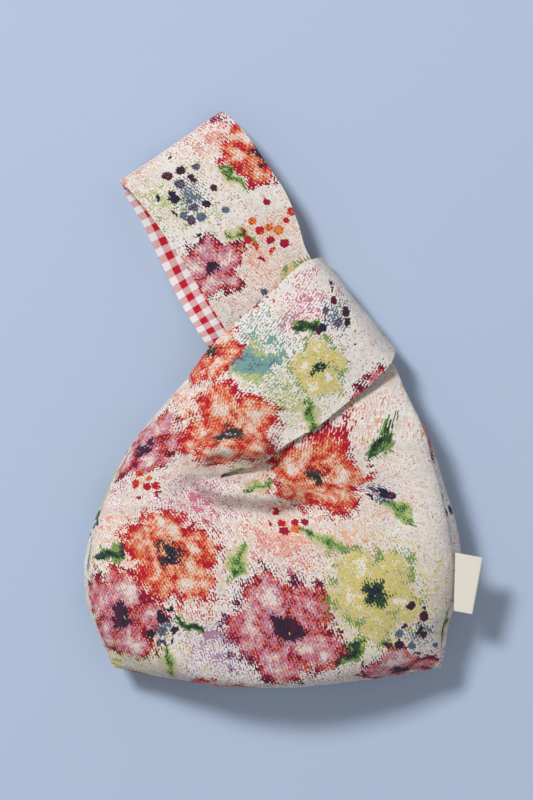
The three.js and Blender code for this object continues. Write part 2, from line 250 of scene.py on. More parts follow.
def fold_height(x, y):
    """How high the folds lift the front at each place."""
    lifted = np.zeros_like(x)
    for fold in FOLDS:
        nearest = np.full_like(x, np.inf)
        at = np.zeros_like(x)
        to_left = np.zeros(x.shape, bool)
        total = 0
        for (ax, ay), (bx, by) in zip(fold["line"], fold["line"][1:]):
            length = math.hypot(bx - ax, by - ay)
            dx, dy = (bx - ax) / length, (by - ay) / length
            held = np.clip((x - ax) * dx + (y - ay) * dy, 0, length)
            distance = np.hypot(x - ax - held * dx, y - ay - held * dy)
            closer = distance < nearest
            nearest = np.where(closer, distance, nearest)
            at = np.where(closer, total + held, at)
            to_left = np.where(closer, dx * (y - ay) - dy * (x - ax) > 0, to_left)
            total += length
        ends = smooth(at / fold["startFade"]) * smooth((total - at) / fold["endFade"])
        width = np.where(to_left, fold["left"], fold["right"])
        lifted += fold["height"] * ends * np.exp(-((nearest / width) ** fold["firmness"]))
    return lifted


class Half:
    """One half of an outer panel: a net of points, rows from the base up, columns from the outer edge in."""

    def __init__(self, side, front, columns):
        self.side, self.front = side, front
        self.places, values = half_rows(side, front)
        other = half_rows(side, not front)[1]
        self.sewn = self.places <= len(BODY_ROWS) + LAST_SEWN[side]
        held = (values[:, :3] + other[:, :3]) / 2
        values[:, :3] = np.where(self.sewn[:, None], held, values[:, :3])
        self.neck = int(np.argmin(abs(self.places - (len(BODY_ROWS) - 1))))
        self.rows, self.columns = len(values), columns
        self.shares = self.spread(columns)
        self.points = self.surface(values)
        self.flat = None

    @staticmethod
    def spread(columns):
        """Shares of the way across, closer together next to both edges."""
        even = np.linspace(0, 1, columns + 1)
        return mix(even, (1 - np.cos(np.pi * even)) / 2, EDGE_CROWDING)

    def surface(self, values):
        out_x, out_y, out_z, in_x, in_y, in_z, rounded, crown, bow, bulge = (
            values[:, k : k + 1] for k in range(len(FIELDS))
        )
        u = self.shares[None, :]
        angle = (np.pi / 2) * (1 - (1 - u) ** CROWDING)
        power = 2 / (FRONT_SQUARE if self.front else BACK_SQUARE)
        curved = 1 - np.maximum(np.cos(angle), 0) ** power
        curved[:, -1] = 1
        share = mix(u, curved, rounded)
        rise = mix(u, np.sin(angle) ** power, rounded)
        bowed = mix(share, 1 - (1 - share) ** 2, bow)
        across = np.hypot(in_x - out_x, in_y - out_y)
        swell = bulge * np.sin(np.pi * rise) / across
        x = out_x + (in_x - out_x) * (share - swell)
        y = out_y + (in_y - out_y) * (bowed - swell)
        z = mix(out_z, in_z, rise) + crown * np.sin(np.pi * u) ** 2
        if self.front:
            past = ((np.arange(self.rows) - self.neck) / ROWS_FINER)[:, None]
            onset = smooth(past / PARTING["rows"])
            dive = onset if self.side == "right" else 0 * onset
            z = z + fold_height(x, y) * smooth(rise * FOLD_ONSET) * (1 - dive * u)
            rising = 1 if self.side == "left" else -1
            foot = BODY_ROWS[-1]
            near = np.exp(-((np.hypot(x - foot["midX"], y - foot["midY"]) / PARTING["reach"]) ** 2))
            z = z + rising * PARTING["lift"] * onset * near + APART
        else:
            z = np.maximum(0, z - SETTLE * np.maximum(0, 1 - z / SEAM_HEIGHT))
        return np.stack([x, y, z], -1)

    def lay_flat(self, offset):
        """Where each point lies in the flat cut cloth, in millimetres: across from the middle, and up."""
        steps = np.linalg.norm(np.diff(self.points, axis=1), axis=2)
        across = np.zeros((self.rows, self.columns + 1))
        across[:, :-1] = np.cumsum(steps[:, ::-1], axis=1)[:, ::-1]
        across *= -1 if self.side == "left" else 1
        climbs = np.linalg.norm(np.diff(self.points, axis=0), axis=2)
        middle = np.concatenate([[0], np.cumsum(climbs[: self.neck, -1])])
        up = np.concatenate([middle, middle[-1] + np.cumsum(climbs[self.neck :].mean(axis=1))])
        # On the body the weave runs level; up the handle it turns to follow the rows.
        level = self.points[..., 1] - self.points[:, -1:, 1]
        fade = 1 - smooth((np.arange(self.rows) - self.neck) / (ROWS_FINER * TURNING_ROWS))[:, None]
        neck_level = level[self.neck][None, :] * fade
        height = up[:, None] + np.where(np.arange(self.rows)[:, None] <= self.neck, level, neck_level)
        self.flat = np.stack([across + offset[0], height - middle[-1] + offset[1]], -1)


# Materials


def linear(hex_colour):
    """An sRGB hex value as a linear RGBA colour."""
    parts = [int(hex_colour[k : k + 2], 16) / 255 for k in (1, 3, 5)]
    return (*[c / 12.92 if c <= 0.04045 else ((c + 0.055) / 1.055) ** 2.4 for c in parts], 1)


def add_node(tree, kind, inputs=(), **options):
    """A shader node with its settings and its inputs, each of them a value, or a node or socket to link.
    kind is the node's type, followed by its operation where it has one."""
    kind, _, operation = kind.partition(" ")
    made = tree.nodes.new(kind if kind.startswith("Node") else "ShaderNode" + kind)
    if operation:
        made.operation = operation
    for name, value in options.items():
        setattr(made, name, value)
    for key, value in inputs.items() if isinstance(inputs, dict) else enumerate(inputs):
        if isinstance(value, bpy.types.Node):
            value = value.outputs[0]
        if isinstance(value, bpy.types.NodeSocket):
            tree.links.new(value, made.inputs[key])
        else:
            made.inputs[key].default_value = value
    return made


def weighed(add, total, *terms):
    """A total to which each of some values is added, times its weight."""
    for value, weight in terms:
        total = add("Math MULTIPLY_ADD", [value, weight, total])
    return total


def settings():
    """The sizes and colours that the user has set."""
    return bpy.context.scene.knotbag


def new_material(name):
    """An empty node material, and the function that adds a node to it."""
    material = bpy.data.materials.new(name)
    material.use_nodes = True
    material.node_tree.nodes.clear()
    return material, partial(add_node, material.node_tree)


def new_group(name, inputs, outputs):
    """An empty node group: its tree, the function that adds a node to it, and its input node. inputs
    and outputs give socket names and kinds."""
    tree = bpy.data.node_groups.new(name, "ShaderNodeTree")
    for label, kind in inputs:
        tree.interface.new_socket(label, in_out="INPUT", socket_type="NodeSocket" + kind)
    for label, kind in outputs:
        tree.interface.new_socket(label, in_out="OUTPUT", socket_type="NodeSocket" + kind)
    return tree, partial(add_node, tree), tree.nodes.new("NodeGroupInput")


def banded(add, value, bands):
    """The colour of the band that a value falls in. bands are lowest values and colours."""
    ramp = add("ValToRGB", [value])
    ramp.color_ramp.interpolation = "CONSTANT"
    points = ramp.color_ramp.elements
    while len(points) > 1:
        points.remove(points[-1])
    for k, (lowest, colour) in enumerate(bands):
        point = points[0] if k == 0 else points.new(lowest)
        point.position = lowest
        point.color = linear(YARN[colour])
    return ramp


YARN = {
    "cream": "#EBE1DA", "ivory": "#F4EEE8", "peach": "#EDB69E", "coral": "#DE6C4C", "orange": "#E38A4A",
    "red": "#C5202C", "crimson": "#9E1A38", "rose": "#D27A93", "mauve": "#B492B2", "burgundy": "#5A2038",
    "navy": "#232A3C", "slate": "#617486", "teal": "#7BA29C", "green": "#7B9E58", "forest": "#3C5634",
    "lime": "#BCC280", "yellow": "#E4CE80", "sand": "#DFCAB0",
}

# The print repeats over the cloth. Its motifs: where they lie in the flat cloth, in millimetres
# across and up from the foot of the neckline, their radius, how long they are for their width,
# and how far they are turned, in degrees. strength is how densely a wash is sprinkled.
REPEAT = (290, 420)
MOTIF_COLUMNS = "kind x y radius long turn"
WASHES = table(MOTIF_COLUMNS + " strength", [
    ["peach", -60, -60, 74, 1.3, 20, 0.75],
    ["peach", 56, 0, 66, 1.1, 60, 0.7],
    ["rose", 24, -104, 70, 1.2, 40, 0.6],
    ["mauve", -20, -120, 54, 1.4, 10, 0.6],
    ["yellow", -100, -120, 52, 1.2, 80, 0.8],
    ["yellow", 84, -96, 52, 1.2, 30, 0.8],
    ["peach", 70, -60, 44, 1.5, 120, 0.7],
    ["rose", -24, -20, 42, 1.3, 10, 0.6],
    ["peach", -44, 52, 70, 1.3, 140, 0.75],
    ["coral", -70, 40, 44, 1.5, 20, 0.4],
    ["rose", -84, 16, 42, 1.3, 60, 0.6],
    ["lime", -30, 108, 40, 1.4, 70, 0.6],
    ["teal", -62, 116, 44, 1.4, 30, 0.55],
    ["peach", 40, 150, 46, 1.3, 0, 0.6],
    ["mauve", 66, 92, 34, 1.3, 60, 0.5],
    ["rose", -64, 146, 40, 1.4, 110, 0.5],
    ["rose", 92, -152, 50, 1.2, 10, 0.7],
    ["peach", -32, -176, 58, 1.4, 0, 0.8],
    ["coral", -40, -90, 40, 1.4, 150, 0.35],
    ["lime", 20, 210, 34, 1.2, 0, 0.5],
    ["peach", 24, -56, 44, 1.6, 160, 0.75],
    ["peach", 70, 232, 40, 1.3, 30, 0.6],
])
BLOOMS = table(MOTIF_COLUMNS, [
    ["rose", -94, -104, 33, 1, 0],
    ["rose", 18, -112, 39, 1, 40],
    ["coral", -50, -62, 34, 1, 15],
    ["coral", 62, -2, 33, 1, 70],
    ["gold", 80, -88, 32, 1, 50],
    ["rose", -78, 26, 27, 1, 30],
    ["coral", -34, 60, 36, 1, 5],
    ["coral", -84, 92, 20, 1, 50],
    ["gold", 66, 118, 19, 1, 60],
    ["rose", 14, 160, 21, 1, 80],
    ["coral", 84, 214, 24, 1, 20],
    ["gold", -30, 138, 20, 1, 80],
    ["rose", 92, -152, 27, 1, 20],
    ["coral", -30, -176, 28, 1, 45],
    ["gold", -106, -176, 28, 1, 10],
])
LEAVES = table(MOTIF_COLUMNS, [
    ["fresh", -6, -66, 18, 2.0, 60],
    ["fresh", 104, -30, 16, 2.0, 120],
    ["deep", -92, -62, 16, 2.2, 20],
    ["fresh", 52, -54, 18, 2.0, 150],
    ["fresh", 2, 30, 14, 2.1, 70],
    ["deep", 58, -128, 17, 2.1, 30],
    ["fresh", -62, -140, 18, 2.0, 100],
    ["sea", -62, 104, 22, 1.6, 40],
    ["sea", 26, 42, 18, 1.7, 100],
    ["deep", 44, 104, 11, 2.2, 10],
    ["fresh", 40, 170, 12, 2.1, 130],
    ["sea", -118, -60, 16, 1.8, 80],
    ["deep", -46, -108, 12, 2.2, 150],
    ["fresh", 20, -8, 13, 2.0, 20],
    ["deep", -56, 148, 13, 2.2, 60],
    ["fresh", -8, 112, 15, 2.0, 160],
    ["fresh", 60, 206, 13, 2.1, 100],
    ["deep", 104, 20, 14, 2.1, 60],
])
BERRIES = table(MOTIF_COLUMNS, [
    ["dark", -116, -36, 20, 1.3, 0],
    ["dark", 108, -116, 22, 1.2, 40],
    ["dark", 28, 106, 25, 1.2, 30],
    ["bright", 62, 160, 25, 1.3, 0],
    ["dark", -62, -112, 17, 1.2, 0],
    ["bright", 32, -42, 15, 1.2, 60],
    ["dark", 30, 208, 26, 1.3, 60],
    ["bright", -64, -4, 15, 1.2, 10],
    ["dark", 98, -18, 16, 1.2, 10],
    ["bright", -96, 124, 17, 1.2, 40],
    ["dark", -50, 168, 20, 1.2, 0],
    ["bright", 88, 84, 16, 1.2, 0],
])

# An open bloom of radius 1: its petals, how far out their middles lie, how wide each one is, how wide
# and how crisp the heart is that joins them, and where a petal ends for its own radius.
PETALS = 5
PETAL_OUT = 0.56
PETAL_RADIUS = 0.45
HEART_RADIUS = 0.42
HEART_CRISPNESS = 3.0
PETAL_EDGE = 1.05
# A leaf narrows towards its tips by this power of the way along it, and has a vein this wide.
LEAF_POINT = 1.7
VEIN = 0.2
# How far apart berries lie, in millimetres, how unevenly, their least size and its spread, and how
# far out a cluster of radius 1 still has some.
BERRY_SPACING = 8.5
BERRY_UNEVENNESS = 0.75
BERRY_SIZE = 0.27
BERRY_SPREAD = 0.16
CLUSTER_EDGE = 1.2
# How far inside its outline a cell has to lie, on average, to belong to a motif or to a berry's haze.
BLOOM_DEPTH = 0.65
LEAF_DEPTH = 0.75
HAZE_DEPTH = 0.75
# How fast a wash thins outwards, how blotchy it is, and how far off the motifs' lots it draws its own.
WASH_FALL = 0.9
WASH_BLOTCH = 2.0
WASH_THINNING = 1.2
WASH_LOT = 0.87
# How often an odd yarn turns up in the ground: more where the cloud is thick.
MOTE_RISE = 0.6
MOTE_START = 0.24
# How much painted shade darkens the yarns where two meet, against their tops.
BEAD_SHADE_RISE = 0.3
BEAD_SHADE_LEAST = 0.8
BLOOM_BANDS = {
    "coral": [
        (0, "cream"), (0.24, "peach"), (0.46, "orange"), (0.54, "coral"), (0.72, "red"), (0.98, "crimson"),
    ],
    "rose": [
        (0, "cream"), (0.2, "peach"), (0.36, "mauve"), (0.48, "rose"), (0.62, "coral"), (0.74, "crimson"),
        (0.94, "burgundy"),
    ],
    "gold": [
        (0, "ivory"), (0.26, "yellow"), (0.5, "lime"), (0.58, "yellow"), (0.78, "sand"), (0.9, "green"),
    ],
}
EYE_BANDS = {
    "coral": [(0, "burgundy"), (0.08, "forest"), (0.12, "navy"), (0.3, "sand")],
    "rose": [(0, "navy"), (0.06, "burgundy"), (0.16, "navy"), (0.32, "lime")],
    "gold": [(0, "forest"), (0.1, "navy"), (0.26, "green")],
}
LEAF_BANDS = {
    "fresh": [(0, "forest"), (0.36, "green"), (0.62, "lime"), (0.9, "sand")],
    "deep": [(0, "navy"), (0.4, "forest"), (0.74, "green")],
    "sea": [(0, "slate"), (0.4, "teal"), (0.86, "lime")],
}
BERRY_BANDS = {
    "dark": [(0, "navy"), (0.3, "burgundy"), (0.7, "slate")],
    "bright": [(0, "crimson"), (0.3, "red"), (0.76, "orange")],
}
BERRY_HAZE = {"dark": "slate", "bright": "peach"}
GROUND_BANDS = [(0, "sand"), (0.3, "cream"), (0.46, "ivory"), (0.6, "cream"), (0.78, "peach")]
MOTE_BANDS = [
    (0, "mauve"), (0.22, "rose"), (0.38, "slate"), (0.46, "green"), (0.58, "orange"), (0.76, "yellow"),
]
# The satin repeats over this many yarns and steps by this many; the rest of a cell's threshold is chance.
SATIN_YARNS = 8
SATIN_STEP = 3
SATIN_SHARE = 0.6
# How far the outlines wander and over what length, and the size of the blotches, in millimetres.
WANDER = 16
WANDER_LENGTH = 12
BLOTCH = 8
# Threads of the gingham are drawn about twice their real width, so that they show.
THREAD = 0.5
# The ribs of the ribbon's twill, drawn coarser than the real ones so that they show, and its faint
# blotches, in millimetres; and how bright the ribbon is where the painted shade between its ribs
# is deepest.
RIB_SPACING = 0.987
RIBBON_BLOTCH = 8.33
RIBBON_LEAST = 0.91


def bloom_group():
    """An open five-petalled flower in washes: how surely a cell belongs to it, its tone, and its eye."""
    tree, add, start = new_group(
        "Open bloom",
        [("Place", "Vector"), ("Cloud", "Float"), ("Dither", "Float")],
        [("Mask", "Float"), ("Tone", "Float"), ("Eye", "Float")],
    )
    place, cloud, dither = start.outputs[:3]
    across, up = add("SeparateXYZ", [place]).outputs[:2]
    angle = add("Math ARCTAN2", [up, across])
    radius = add("VectorMath LENGTH", [place]).outputs[1]
    # Fold the plane into one petal, and give each petal its own lot.
    folded = add("Math WRAP", [angle, math.pi / PETALS, -math.pi / PETALS])
    petal = add("Math SUBTRACT", [angle, folded])
    lot = add("TexWhiteNoise", {"W": petal}, noise_dimensions="1D").outputs["Value"]
    out = add("Math MULTIPLY", [radius, add("Math COSINE", [folded])])
    aside = add("Math MULTIPLY", [radius, add("Math SINE", [folded])])
    out = add("Math SUBTRACT", [out, PETAL_OUT])
    from_middle = add("CombineXYZ", [out, aside, 0.0])
    from_middle = add("VectorMath LENGTH", [from_middle]).outputs[1]
    share = add("Math DIVIDE", [from_middle, PETAL_RADIUS])
    heart = add("Math SUBTRACT", [HEART_RADIUS, radius])
    heart = add("Math MULTIPLY", [heart, HEART_CRISPNESS])
    inside = add("Math MAXIMUM", [add("Math SUBTRACT", [PETAL_EDGE, share]), heart])
    inside = add("Math SUBTRACT", [inside, BLOOM_DEPTH])
    mask = weighed(add, inside, (cloud, 1.3), (dither, 0.8))
    tone = weighed(add, -0.62, (share, 0.62), (cloud, 1.5), (lot, 0.35), (dither, 0.6))
    eye = weighed(add, -0.03, (cloud, 0.55), (radius, -1.0), (dither, 0.2))
    add("NodeGroupOutput", [mask, tone, eye])
    return tree


def leaf_group():
    """A pointed leaf: how surely a cell belongs to it, and its tone from vein to edge."""
    tree, add, start = new_group(
        "Leaf",
        [("Place", "Vector"), ("Cloud", "Float"), ("Dither", "Float")],
        [("Mask", "Float"), ("Tone", "Float")],
    )
    place, cloud, dither = start.outputs[:3]
    across, up = add("SeparateXYZ", [place]).outputs[:2]
    along = add("Math ABSOLUTE", [across])
    aside = add("Math ABSOLUTE", [up])
    width = add("Math SUBTRACT", [1.0, add("Math POWER", [along, LEAF_POINT])])
    inside = add("Math SUBTRACT", [add("Math SUBTRACT", [width, aside]), LEAF_DEPTH])
    mask = weighed(add, inside, (cloud, 1.4), (dither, 0.7))
    tone = weighed(add, add("Math SUBTRACT", [aside, VEIN]), (cloud, 1.1), (dither, 0.5))
    add("NodeGroupOutput", [mask, tone])
    return tree


def berry_group():
    """A loose cluster of round berries: how surely a cell belongs to one, its tone, and its haze."""
    tree, add, start = new_group(
        "Berry cluster",
        [("Place", "Vector"), ("Flat", "Vector"), ("Dither", "Float")],
        [("Mask", "Float"), ("Tone", "Float"), ("Haze", "Float")],
    )
    place, flat, dither = start.outputs[:3]
    radius = add("VectorMath LENGTH", [place]).outputs[1]
    near = add("Math SUBTRACT", [CLUSTER_EDGE, radius])
    spots = {"Vector": flat, "Scale": 1 / BERRY_SPACING, "Randomness": BERRY_UNEVENNESS}
    grains = add("TexVoronoi", spots, voronoi_dimensions="2D", feature="F1")
    lots = add("SeparateColor", [grains.outputs["Color"]]).outputs
    kept = add("Math GREATER_THAN", [near, lots[0]])
    size = add("Math MULTIPLY_ADD", [lots[1], BERRY_SPREAD, BERRY_SIZE])
    inside = add("Math SUBTRACT", [size, grains.outputs["Distance"]])
    inside = weighed(add, inside, (dither, 0.12))
    mask = add("Math MULTIPLY", [kept, add("Math GREATER_THAN", [inside, 0.0])])
    tone = weighed(add, lots[2], (dither, 0.7))
    haze = weighed(add, add("Math SUBTRACT", [near, HAZE_DEPTH]), (dither, 1.0))
    add("NodeGroupOutput", [mask, tone, haze])
    return tree


def woven_lots(add, index):
    """Lots drawn for each cell, and its threshold from -0.5 to 0.5: satin order with some chance."""
    noise = add("TexWhiteNoise", [index], noise_dimensions="2D")
    lots = add("SeparateColor", [noise.outputs["Color"]]).outputs
    steps = (SATIN_STEP / SATIN_YARNS, 1 / SATIN_YARNS, 0)
    order = add("VectorMath DOT_PRODUCT", [index, steps]).outputs[1]
    order = add("Math FRACT", [order])
    order = add("Math MULTIPLY_ADD", [order, SATIN_SHARE, -0.5])
    return lots, add("Math MULTIPLY_ADD", [lots[0], 1 - SATIN_SHARE, order])


def by_kind(motifs):
    """The motifs of each kind, in the order in which the kinds first come."""
    kinds = {}
    for motif in motifs:
        kinds.setdefault(motif["kind"], []).append(motif)
    return kinds.items()


def own_frame(add, place, motif):
    """Each cell's place as seen from a motif: its middle is the origin and its radius is 1."""
    half = (REPEAT[0] / 2, REPEAT[1] / 2, 1)
    minus = (-REPEAT[0] / 2, -REPEAT[1] / 2, -1)
    away = add("VectorMath SUBTRACT", [place, (motif["x"], motif["y"], 0)])
    wrapped = add("VectorMath WRAP", [away, half, minus])
    size = (motif["radius"], motif["radius"] / motif["long"], 1)
    turn = (0, 0, math.radians(motif["turn"]))
    seen = {"Vector": wrapped, "Rotation": turn, "Scale": size}
    return add("Mapping", seen, vector_type="TEXTURE").outputs[0]


def nearest(add, place, motifs):
    """Each cell's place as seen from the nearest of some motifs."""
    best, least = None, None
    for motif in motifs:
        local = own_frame(add, place, motif)
        away = add("VectorMath LENGTH", [local]).outputs[1]
        if best is None:
            best, least = local, away
            continue
        closer = add("Math LESS_THAN", [away, least])
        best = add("Mix", {0: closer, 4: best, 5: local}, data_type="VECTOR").outputs[1]
        least = add("Math MINIMUM", [away, least])
    return best


def ground_colour(add, lots, cloud, dither):
    """Cream yarns with a sprinkle of odd ones."""
    ground = banded(add, weighed(add, cloud, (dither, 0.3)), GROUND_BANDS)
    motes = banded(add, lots[2], MOTE_BANDS)
    rare = add("Math MULTIPLY_ADD", [cloud, MOTE_RISE, -MOTE_START])
    mote = add("Math LESS_THAN", [lots[1], rare])
    return add("Mix", {0: mote, 6: ground, 7: motes}, data_type="RGBA").outputs[2]


def with_washes(add, colour, place, cloud, other):
    """Washes over a colour: thick in the middle, a sprinkle further out, and blotchy all over."""
    for kind, motifs in by_kind(WASHES):
        far = None
        for motif in motifs:
            local = own_frame(add, place, motif)
            radius = add("VectorMath LENGTH", [local]).outputs[1]
            away = add("Math MULTIPLY_ADD", [radius, WASH_FALL, -motif["strength"]])
            far = away if far is None else add("Math MINIMUM", [far, away])
        thick = add("Math MULTIPLY_ADD", [cloud, WASH_BLOTCH, -WASH_THINNING])
        thick = add("Math SUBTRACT", [thick, far])
        inside = add("Math LESS_THAN", [other, thick])
        wash = linear(YARN[kind])
        colour = add("Mix", {0: inside, 6: colour, 7: wash}, data_type="RGBA").outputs[2]
    return colour


def with_motifs(add, colour, group, second, place, dither, motifs, bands):
    """One form of motif over a colour, each kind in its own bands. second is the group's second input."""
    for kind, of_kind in by_kind(motifs):
        made = add("Group", [nearest(add, place, of_kind), second, dither], node_tree=group)
        mask, tone = made.outputs[:2]
        if "Haze" in made.outputs:
            hazy = add("Math GREATER_THAN", [made.outputs["Haze"], 0.1])
            haze = linear(YARN[BERRY_HAZE[kind]])
            colour = add("Mix", {0: hazy, 6: colour, 7: haze}, data_type="RGBA").outputs[2]
        inside = add("Math GREATER_THAN", [mask, 0.0])
        yarns = banded(add, tone, bands[kind])
        colour = add("Mix", {0: inside, 6: colour, 7: yarns}, data_type="RGBA").outputs[2]
        if "Eye" in made.outputs:
            seen = add("Math GREATER_THAN", [made.outputs["Eye"], 0.0])
            eye = banded(add, made.outputs["Eye"], EYE_BANDS[kind])
            colour = add("Mix", {0: seen, 6: colour, 7: eye}, data_type="RGBA").outputs[2]
    return colour


def bead_height(add, cells):
    """How high the yarn stands: one small bead in each cell."""
    parts = add("SeparateXYZ", [add("VectorMath FRACTION", [cells])])
    arcs = []
    for part in parts.outputs[:2]:
        angle = add("Math MULTIPLY", [part, math.pi])
        arcs.append(add("Math SINE", [angle]))
    return add("Math MULTIPLY", arcs)


def cloth_surface(add, colour, height, relief, gloss):
    """A matt cloth whose yarns stand out. relief is how strongly and by how many millimetres, and
    gloss is the surface's roughness and its specular level."""
    bump = add("Bump", {"Strength": relief[0], "Distance": relief[1] * MM, "Height": height})
    surface = {
        "Base Color": colour, "Roughness": gloss[0], "Specular IOR Level": gloss[1],
        "Sheen Weight": 0.1, "Sheen Roughness": 0.5, "Normal": bump,
    }
    add("OutputMaterial", [add("BsdfPrincipled", surface)])


def jacquard_material():
    """Jacquard tapestry: coarse cotton yarns of many colours on a cream ground, whose floats show as small
    ribs, so that every shape is built of cells of one colour and every wash is a sprinkle of them."""
    material, add = new_material("Jacquard tapestry")
    flat = add("VectorMath SCALE", {0: add("UVMap", uv_map="Cloth"), 3: 1 / MM})
    weave = (settings().across / MM, settings().up / MM)
    cell = add("VectorMath DIVIDE", [flat, (*weave, 1)])
    index = add("VectorMath FLOOR", [cell])
    centre = add("VectorMath MULTIPLY", [index, (*weave, 0)])
    lots, dither = woven_lots(add, index)
    other = add("Math FRACT", [add("Math ADD", [dither, WASH_LOT])])
    other = add("Math SUBTRACT", [other, 0.5])
    wandering = {"Vector": centre, "Scale": 1 / WANDER_LENGTH, "Detail": 2, "Roughness": 0.6}
    wander = add("TexNoise", wandering, noise_dimensions="2D").outputs["Color"]
    shift = add("VectorMath SUBTRACT", [wander, (0.5, 0.5, 0.5)])
    place = add("VectorMath MULTIPLY_ADD", [shift, (WANDER, WANDER, 0), centre])
    clouding = {"Vector": centre, "Scale": 1 / BLOTCH, "Detail": 3, "Roughness": 0.62}
    cloud = add("TexNoise", clouding, noise_dimensions="2D").outputs["Fac"]
    colour = ground_colour(add, lots, cloud, dither)
    colour = with_washes(add, colour, place, cloud, other)
    colour = with_motifs(add, colour, leaf_group(), cloud, place, dither, LEAVES, LEAF_BANDS)
    colour = with_motifs(add, colour, bloom_group(), cloud, place, dither, BLOOMS, BLOOM_BANDS)
    colour = with_motifs(add, colour, berry_group(), centre, place, dither, BERRIES, BERRY_BANDS)
    # Each float is a small bead of yarn, with painted shade where two meet.
    bead = add("Math POWER", [bead_height(add, cell), 0.5])
    shade = add("Math MULTIPLY_ADD", [bead, BEAD_SHADE_RISE, BEAD_SHADE_LEAST])
    colour = add("VectorMath SCALE", {0: colour, 3: shade})
    cloth_surface(add, colour, bead, (0.7, 0.3), (0.92, 0.2))
    return material


def gingham_material():
    """Gingham: plain-woven cotton in red and white stripes both ways, so its checks are red, white, and a
    pink made of red and white threads."""
    material, add = new_material("Cotton gingham")
    flat = add("VectorMath SCALE", {0: add("UVMap", uv_map="Cloth"), 3: 1 / MM})
    doubled = add("VectorMath SCALE", {0: flat, 3: MM / (2 * settings().check)})
    apart = add("SeparateXYZ", [add("VectorMath FRACTION", [doubled])])
    red_warp, red_weft = (add("Math LESS_THAN", [part, 0.5]) for part in apart.outputs[:2])
    thread = add("VectorMath SCALE", {0: flat, 3: 1 / THREAD})
    crossing = add("VectorMath FLOOR", [thread])
    parity = add("VectorMath DOT_PRODUCT", [crossing, (0.5, 0.5, 0)]).outputs[1]
    over = add("Math GREATER_THAN", [add("Math FRACT", [parity]), 0.25])
    red = add("Mix", {0: over, 2: red_warp, 3: red_weft}, data_type="FLOAT")
    yarns = {0: red, 6: settings().white, 7: settings().red}
    colour = add("Mix", yarns, data_type="RGBA").outputs[2]
    height = bead_height(add, thread)
    cloth_surface(add, colour, height, (0.5, 0.12), (0.85, 0.25))
    return material


def ribbon_material():
    """Cream twill ribbon: smooth matt tape with fine slanting ribs, bare."""
    material, add = new_material("Twill ribbon")
    place = add("TexCoord").outputs["Object"]
    # A diagonal wave of scale 1 turns by 10 radians for each metre along x and for each along y.
    rib_scale = math.tau / (10 * math.sqrt(2) * RIB_SPACING * MM)
    ribbing = {"Vector": place, "Scale": rib_scale, "Distortion": 0.4, "Detail": 1.0}
    ribs = add("TexWave", ribbing, wave_type="BANDS", bands_direction="DIAGONAL").outputs["Fac"]
    clouding = {"Vector": place, "Scale": 1 / (RIBBON_BLOTCH * MM), "Detail": 3.0}
    cloud = add("TexNoise", clouding).outputs["Fac"]
    # Painted shade darkens the grooves between the ribs; the blotches are uneven tone of the tape.
    tone = weighed(add, RIBBON_LEAST, (ribs, 0.08), (cloud, 0.06))
    bump = add("Bump", {"Strength": 0.4, "Distance": 0.05 * MM, "Height": ribs})
    surface = {"Roughness": 0.7, "Specular IOR Level": 0.35, "Normal": bump}
    surface["Base Color"] = add("VectorMath SCALE", {0: settings().tape[:3], 3: tone})
    add("OutputMaterial", [add("BsdfPrincipled", surface)])
    return material


def paper_material():
    """Matt backdrop paper, with no grain that shows from here."""
    material, add = new_material("Plain paper")
    surface = {"Base Color": settings().paper, "Roughness": 0.95, "Specular IOR Level": 0.1}
    add("OutputMaterial", [add("BsdfPrincipled", surface)])
    return material


# Meshes


def deselect():
    if bpy.context.object and bpy.context.object.mode != "OBJECT":
        bpy.ops.object.mode_set(mode="OBJECT")
    bpy.ops.object.select_all(action="DESELECT")


def only(obj):
    deselect()
    obj.select_set(True)
    bpy.context.view_layer.objects.active = obj


def laid_grid(name, points, flat):
    """A grid primitive whose points are moved to their places, with the cloth's own flat places as UVs."""
    rows, columns = points.shape[:2]
    deselect()
    bpy.ops.mesh.primitive_grid_add(
        x_subdivisions=columns - 1, y_subdivisions=rows - 1, size=1, location=(0, 0, 0)
    )
    grid = bpy.context.object
    grid.name = grid.data.name = name
    mesh = grid.data
    mesh.vertices.foreach_set("co", (points.reshape(-1, 3) * MM).ravel())
    for layer in list(mesh.uv_layers):
        mesh.uv_layers.remove(layer)
    layer = mesh.uv_layers.new(name="Cloth")
    corner = np.zeros(len(mesh.loops), int)
    mesh.loops.foreach_get("vertex_index", corner)
    layer.uv.foreach_set("vector", (flat.reshape(-1, 2)[corner] * MM).ravel())
    mesh.update()
    return grid


def joined(name, parts, outward_down):
    """Grids as one mesh, sewn where their points meet."""
    deselect()
    for part in parts:
        part.select_set(True)
    bpy.context.view_layer.objects.active = parts[0]
    if len(parts) > 1:
        bpy.ops.object.join()
    made = bpy.context.object
    made.name = made.data.name = name
    bpy.ops.object.mode_set(mode="EDIT")
    bpy.ops.mesh.select_all(action="SELECT")
    bpy.ops.mesh.remove_doubles(threshold=1e-6)
    if outward_down:
        bpy.ops.mesh.flip_normals()
    bpy.ops.object.mode_set(mode="OBJECT")
    return made


# How far the turned edges of a cloth are rounded, for its thickness.
EDGE_ROUNDING = 0.42


def thicken(obj, thickness):
    """Give a sheet its thickness, downwards from its face, and its turned edges."""
    only(obj)
    wall = obj.modifiers.new("Thickness", "SOLIDIFY")
    wall.thickness = thickness
    wall.offset = -1
    wall.use_even_offset = False
    wall.use_quality_normals = True
    if len(obj.data.materials) > 1:
        wall.material_offset = 1
    bpy.ops.object.modifier_apply(modifier="Thickness")
    edges = obj.modifiers.new("Turned edges", "BEVEL")
    edges.width = thickness * EDGE_ROUNDING
    edges.segments = 3
    edges.limit_method = "ANGLE"
    edges.angle_limit = math.radians(60)
    bpy.ops.object.modifier_apply(modifier="Turned edges")
    bpy.ops.object.shade_smooth()


def face_normals(points):
    """Upward normals of a net of points."""
    along = np.gradient(points, axis=0)
    across = np.gradient(points, axis=1)
    normals = np.cross(across, along)
    normals /= np.maximum(np.linalg.norm(normals, axis=2, keepdims=True), 1e-9)
    return normals


